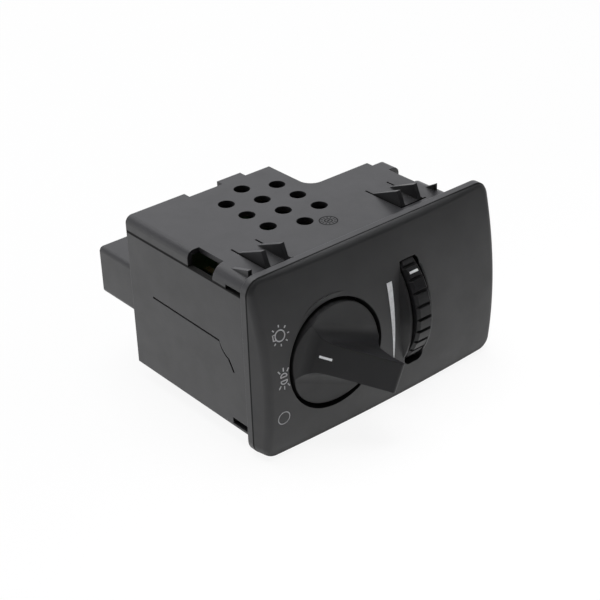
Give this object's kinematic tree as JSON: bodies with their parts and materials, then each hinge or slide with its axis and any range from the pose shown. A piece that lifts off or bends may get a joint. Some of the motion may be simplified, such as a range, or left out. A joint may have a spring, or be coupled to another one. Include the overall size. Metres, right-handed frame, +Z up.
{
  "type": "vehicle headlight switch",
  "caption": "Dashboard headlight switch: crowned bezel with a rotary lamp knob and a ribbed dimmer wheel, snap-in L-shaped housing, rear connector.",
  "frame": {"origin": "centre of the bezel outline on the panel seat, the rear face of the housing's rim", "axes": "+Y back into the dashboard, +Z up, +X to the right seen from the front"},
  "size_m": [0.101, 0.1086, 0.065],
  "materials": {
    "bezel_black": "soft satin moulded black",
    "case_black": "moulded black with a fine grain",
    "knob_black": "soft satin moulded black",
    "wheel_black": "moulded black",
    "marking_white": "white insert",
    "inner_black": "glass-filled moulding",
    "board_green": "circuit board laminate",
    "plate_tan": "phenolic contact plate",
    "contact_brass": "stamped",
    "spring_steel": "bright",
    "tinned": "tinned brass blade",
    "clear_light": "clear"
  },
  "bodies": {
    "root": {"front_bezel": "bezel_black", "housing": "case_black", "top_cover": "case_black", "detent_leaf": "spring_steel", "contact_plate": "plate_tan", "fixed_contacts": "contact_brass", "bus_bars": "contact_brass", "plate_screws": "spring_steel", "circuit_board": "board_green", "board_screws": "spring_steel", "wheel_axle": "spring_steel", "dimmer_pot": "inner_black", "dimmer_board": "board_green", "dimmer_leads": "contact_brass", "light_guide": "clear_light", "symbol_lamps": "clear_light", "connector_shroud": "case_black", "terminal_pins": "tinned"},
    "knob_body": {"knob": "knob_black", "knob_pointer": "marking_white", "knob_clip": "spring_steel", "rotor": "inner_black", "contact_carrier": "inner_black", "moving_contacts": "contact_brass"},
    "wheel_body": {"dimmer_wheel": "wheel_black", "wheel_mark": "marking_white", "pot_wiper": "contact_brass"}
  },
  "joints": [
    {"name": "knob_turn", "type": "hinge", "parent": "root", "child": "knob_body", "pos_m": [-0.0225, 0, -0.0016], "axis": [0, 1, 0], "range_deg": [-60, 0]},
    {"name": "dimmer_turn", "type": "hinge", "parent": "root", "child": "wheel_body", "pos_m": [0.0098, 0.00647, 0.0001], "axis": [1, 0, 0], "range_deg": [0, 76]}
  ]
}
